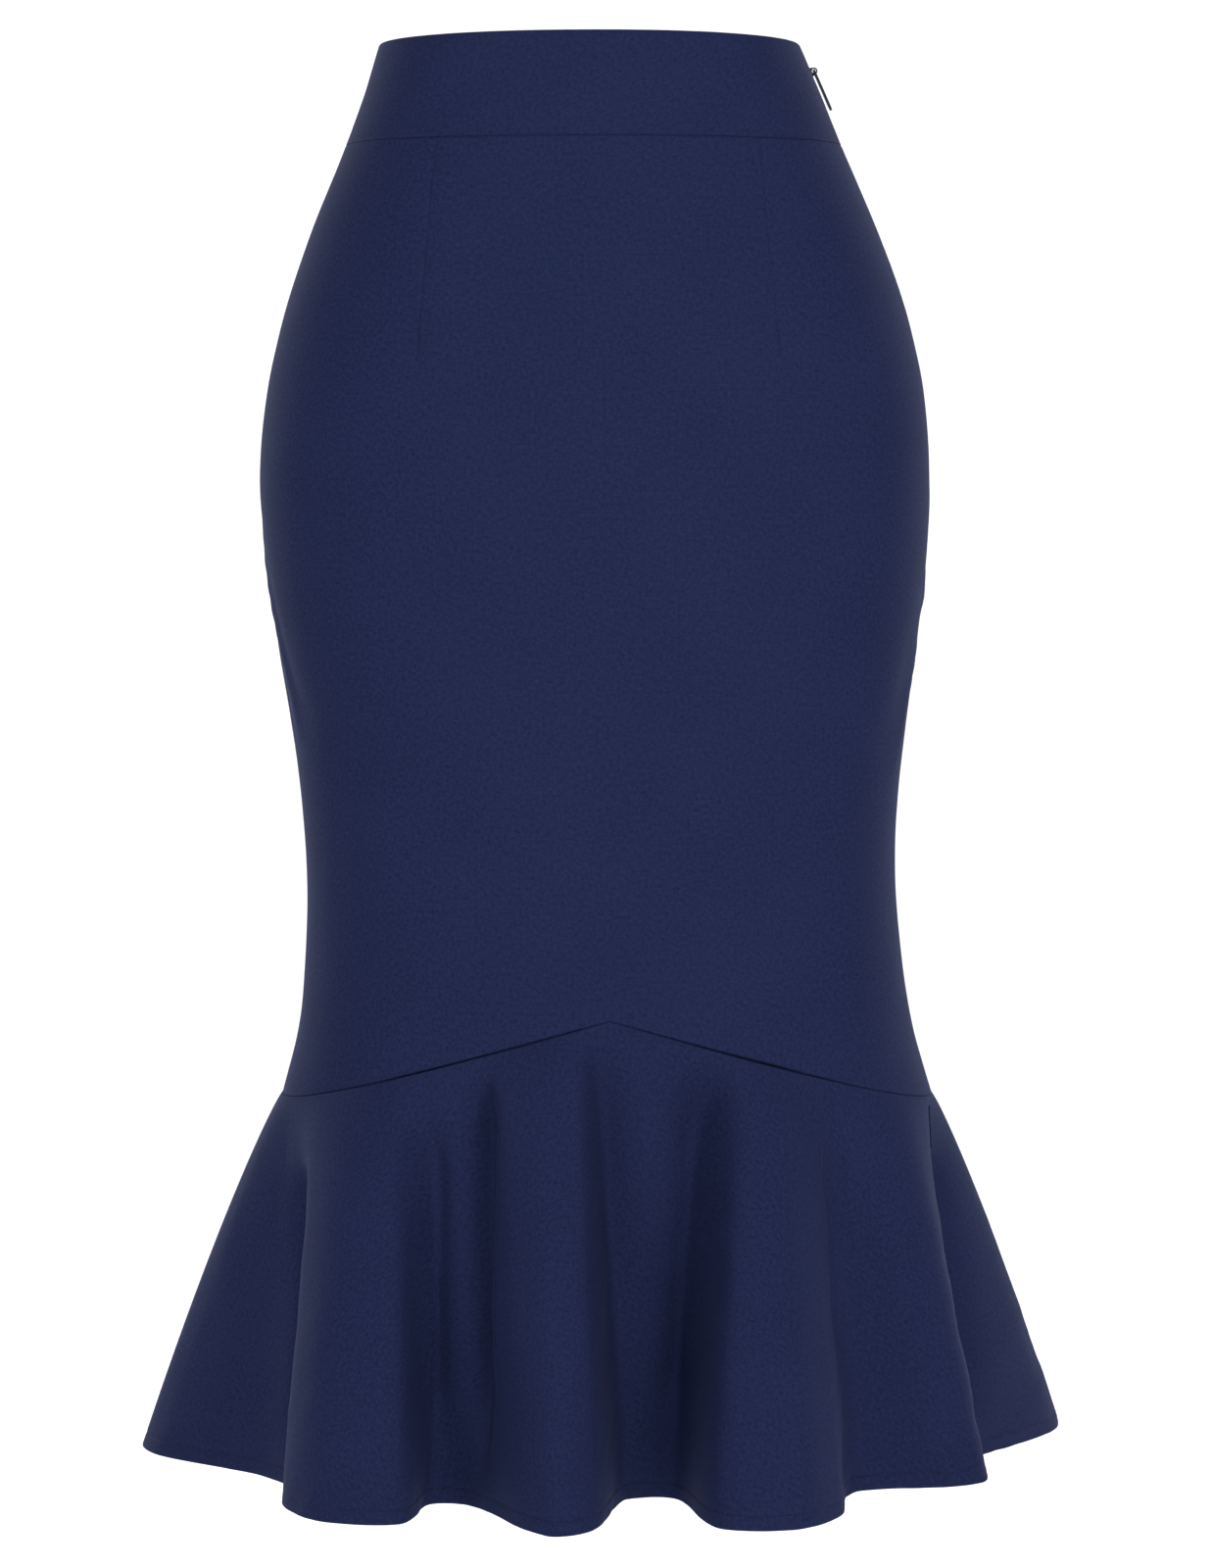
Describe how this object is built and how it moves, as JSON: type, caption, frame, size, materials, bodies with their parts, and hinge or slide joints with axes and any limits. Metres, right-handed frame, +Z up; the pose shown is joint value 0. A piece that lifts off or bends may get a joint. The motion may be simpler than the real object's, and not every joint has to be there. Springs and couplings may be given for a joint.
{
  "type": "pencil skirt with a fishtail flounce",
  "caption": "High-waisted fitted pencil skirt of navy cloth with a wide waistband, a chevron seam, a fishtail flounce in deep folds and a zip in the side seam.",
  "frame": {"origin": "middle of the waist opening, level with the waistband's top edge at the sides, where the wearer's waist holds the skirt", "axes": "+Z up, -Y out of the front, +X towards the wearer's left, where the zip is"},
  "size_m": [0.4849, 0.4512, 0.7256],
  "materials": {
    "cloth": "matt navy crepe with a soft sheen",
    "zip_tape": "woven tape with a nylon coil",
    "zip_metal": "satin enamel, dyed to match the cloth"
  },
  "bodies": {
    "skirt": {"waistband_front": "cloth", "waistband_back": "cloth", "skirt_front": "cloth", "skirt_back": "cloth", "flounce_front": "cloth", "flounce_back": "cloth", "zip_tape": "zip_tape", "zip_slider": "zip_metal"},
    "zip_pull": {"zip_pull": "zip_metal"}
  },
  "joints": [
    {"name": "pull_swing", "type": "hinge", "parent": "skirt", "child": "zip_pull", "pos_m": [0.11003, 0, -0.01173], "axis": [0, -1, 0], "range_deg": [0, 165]}
  ]
}
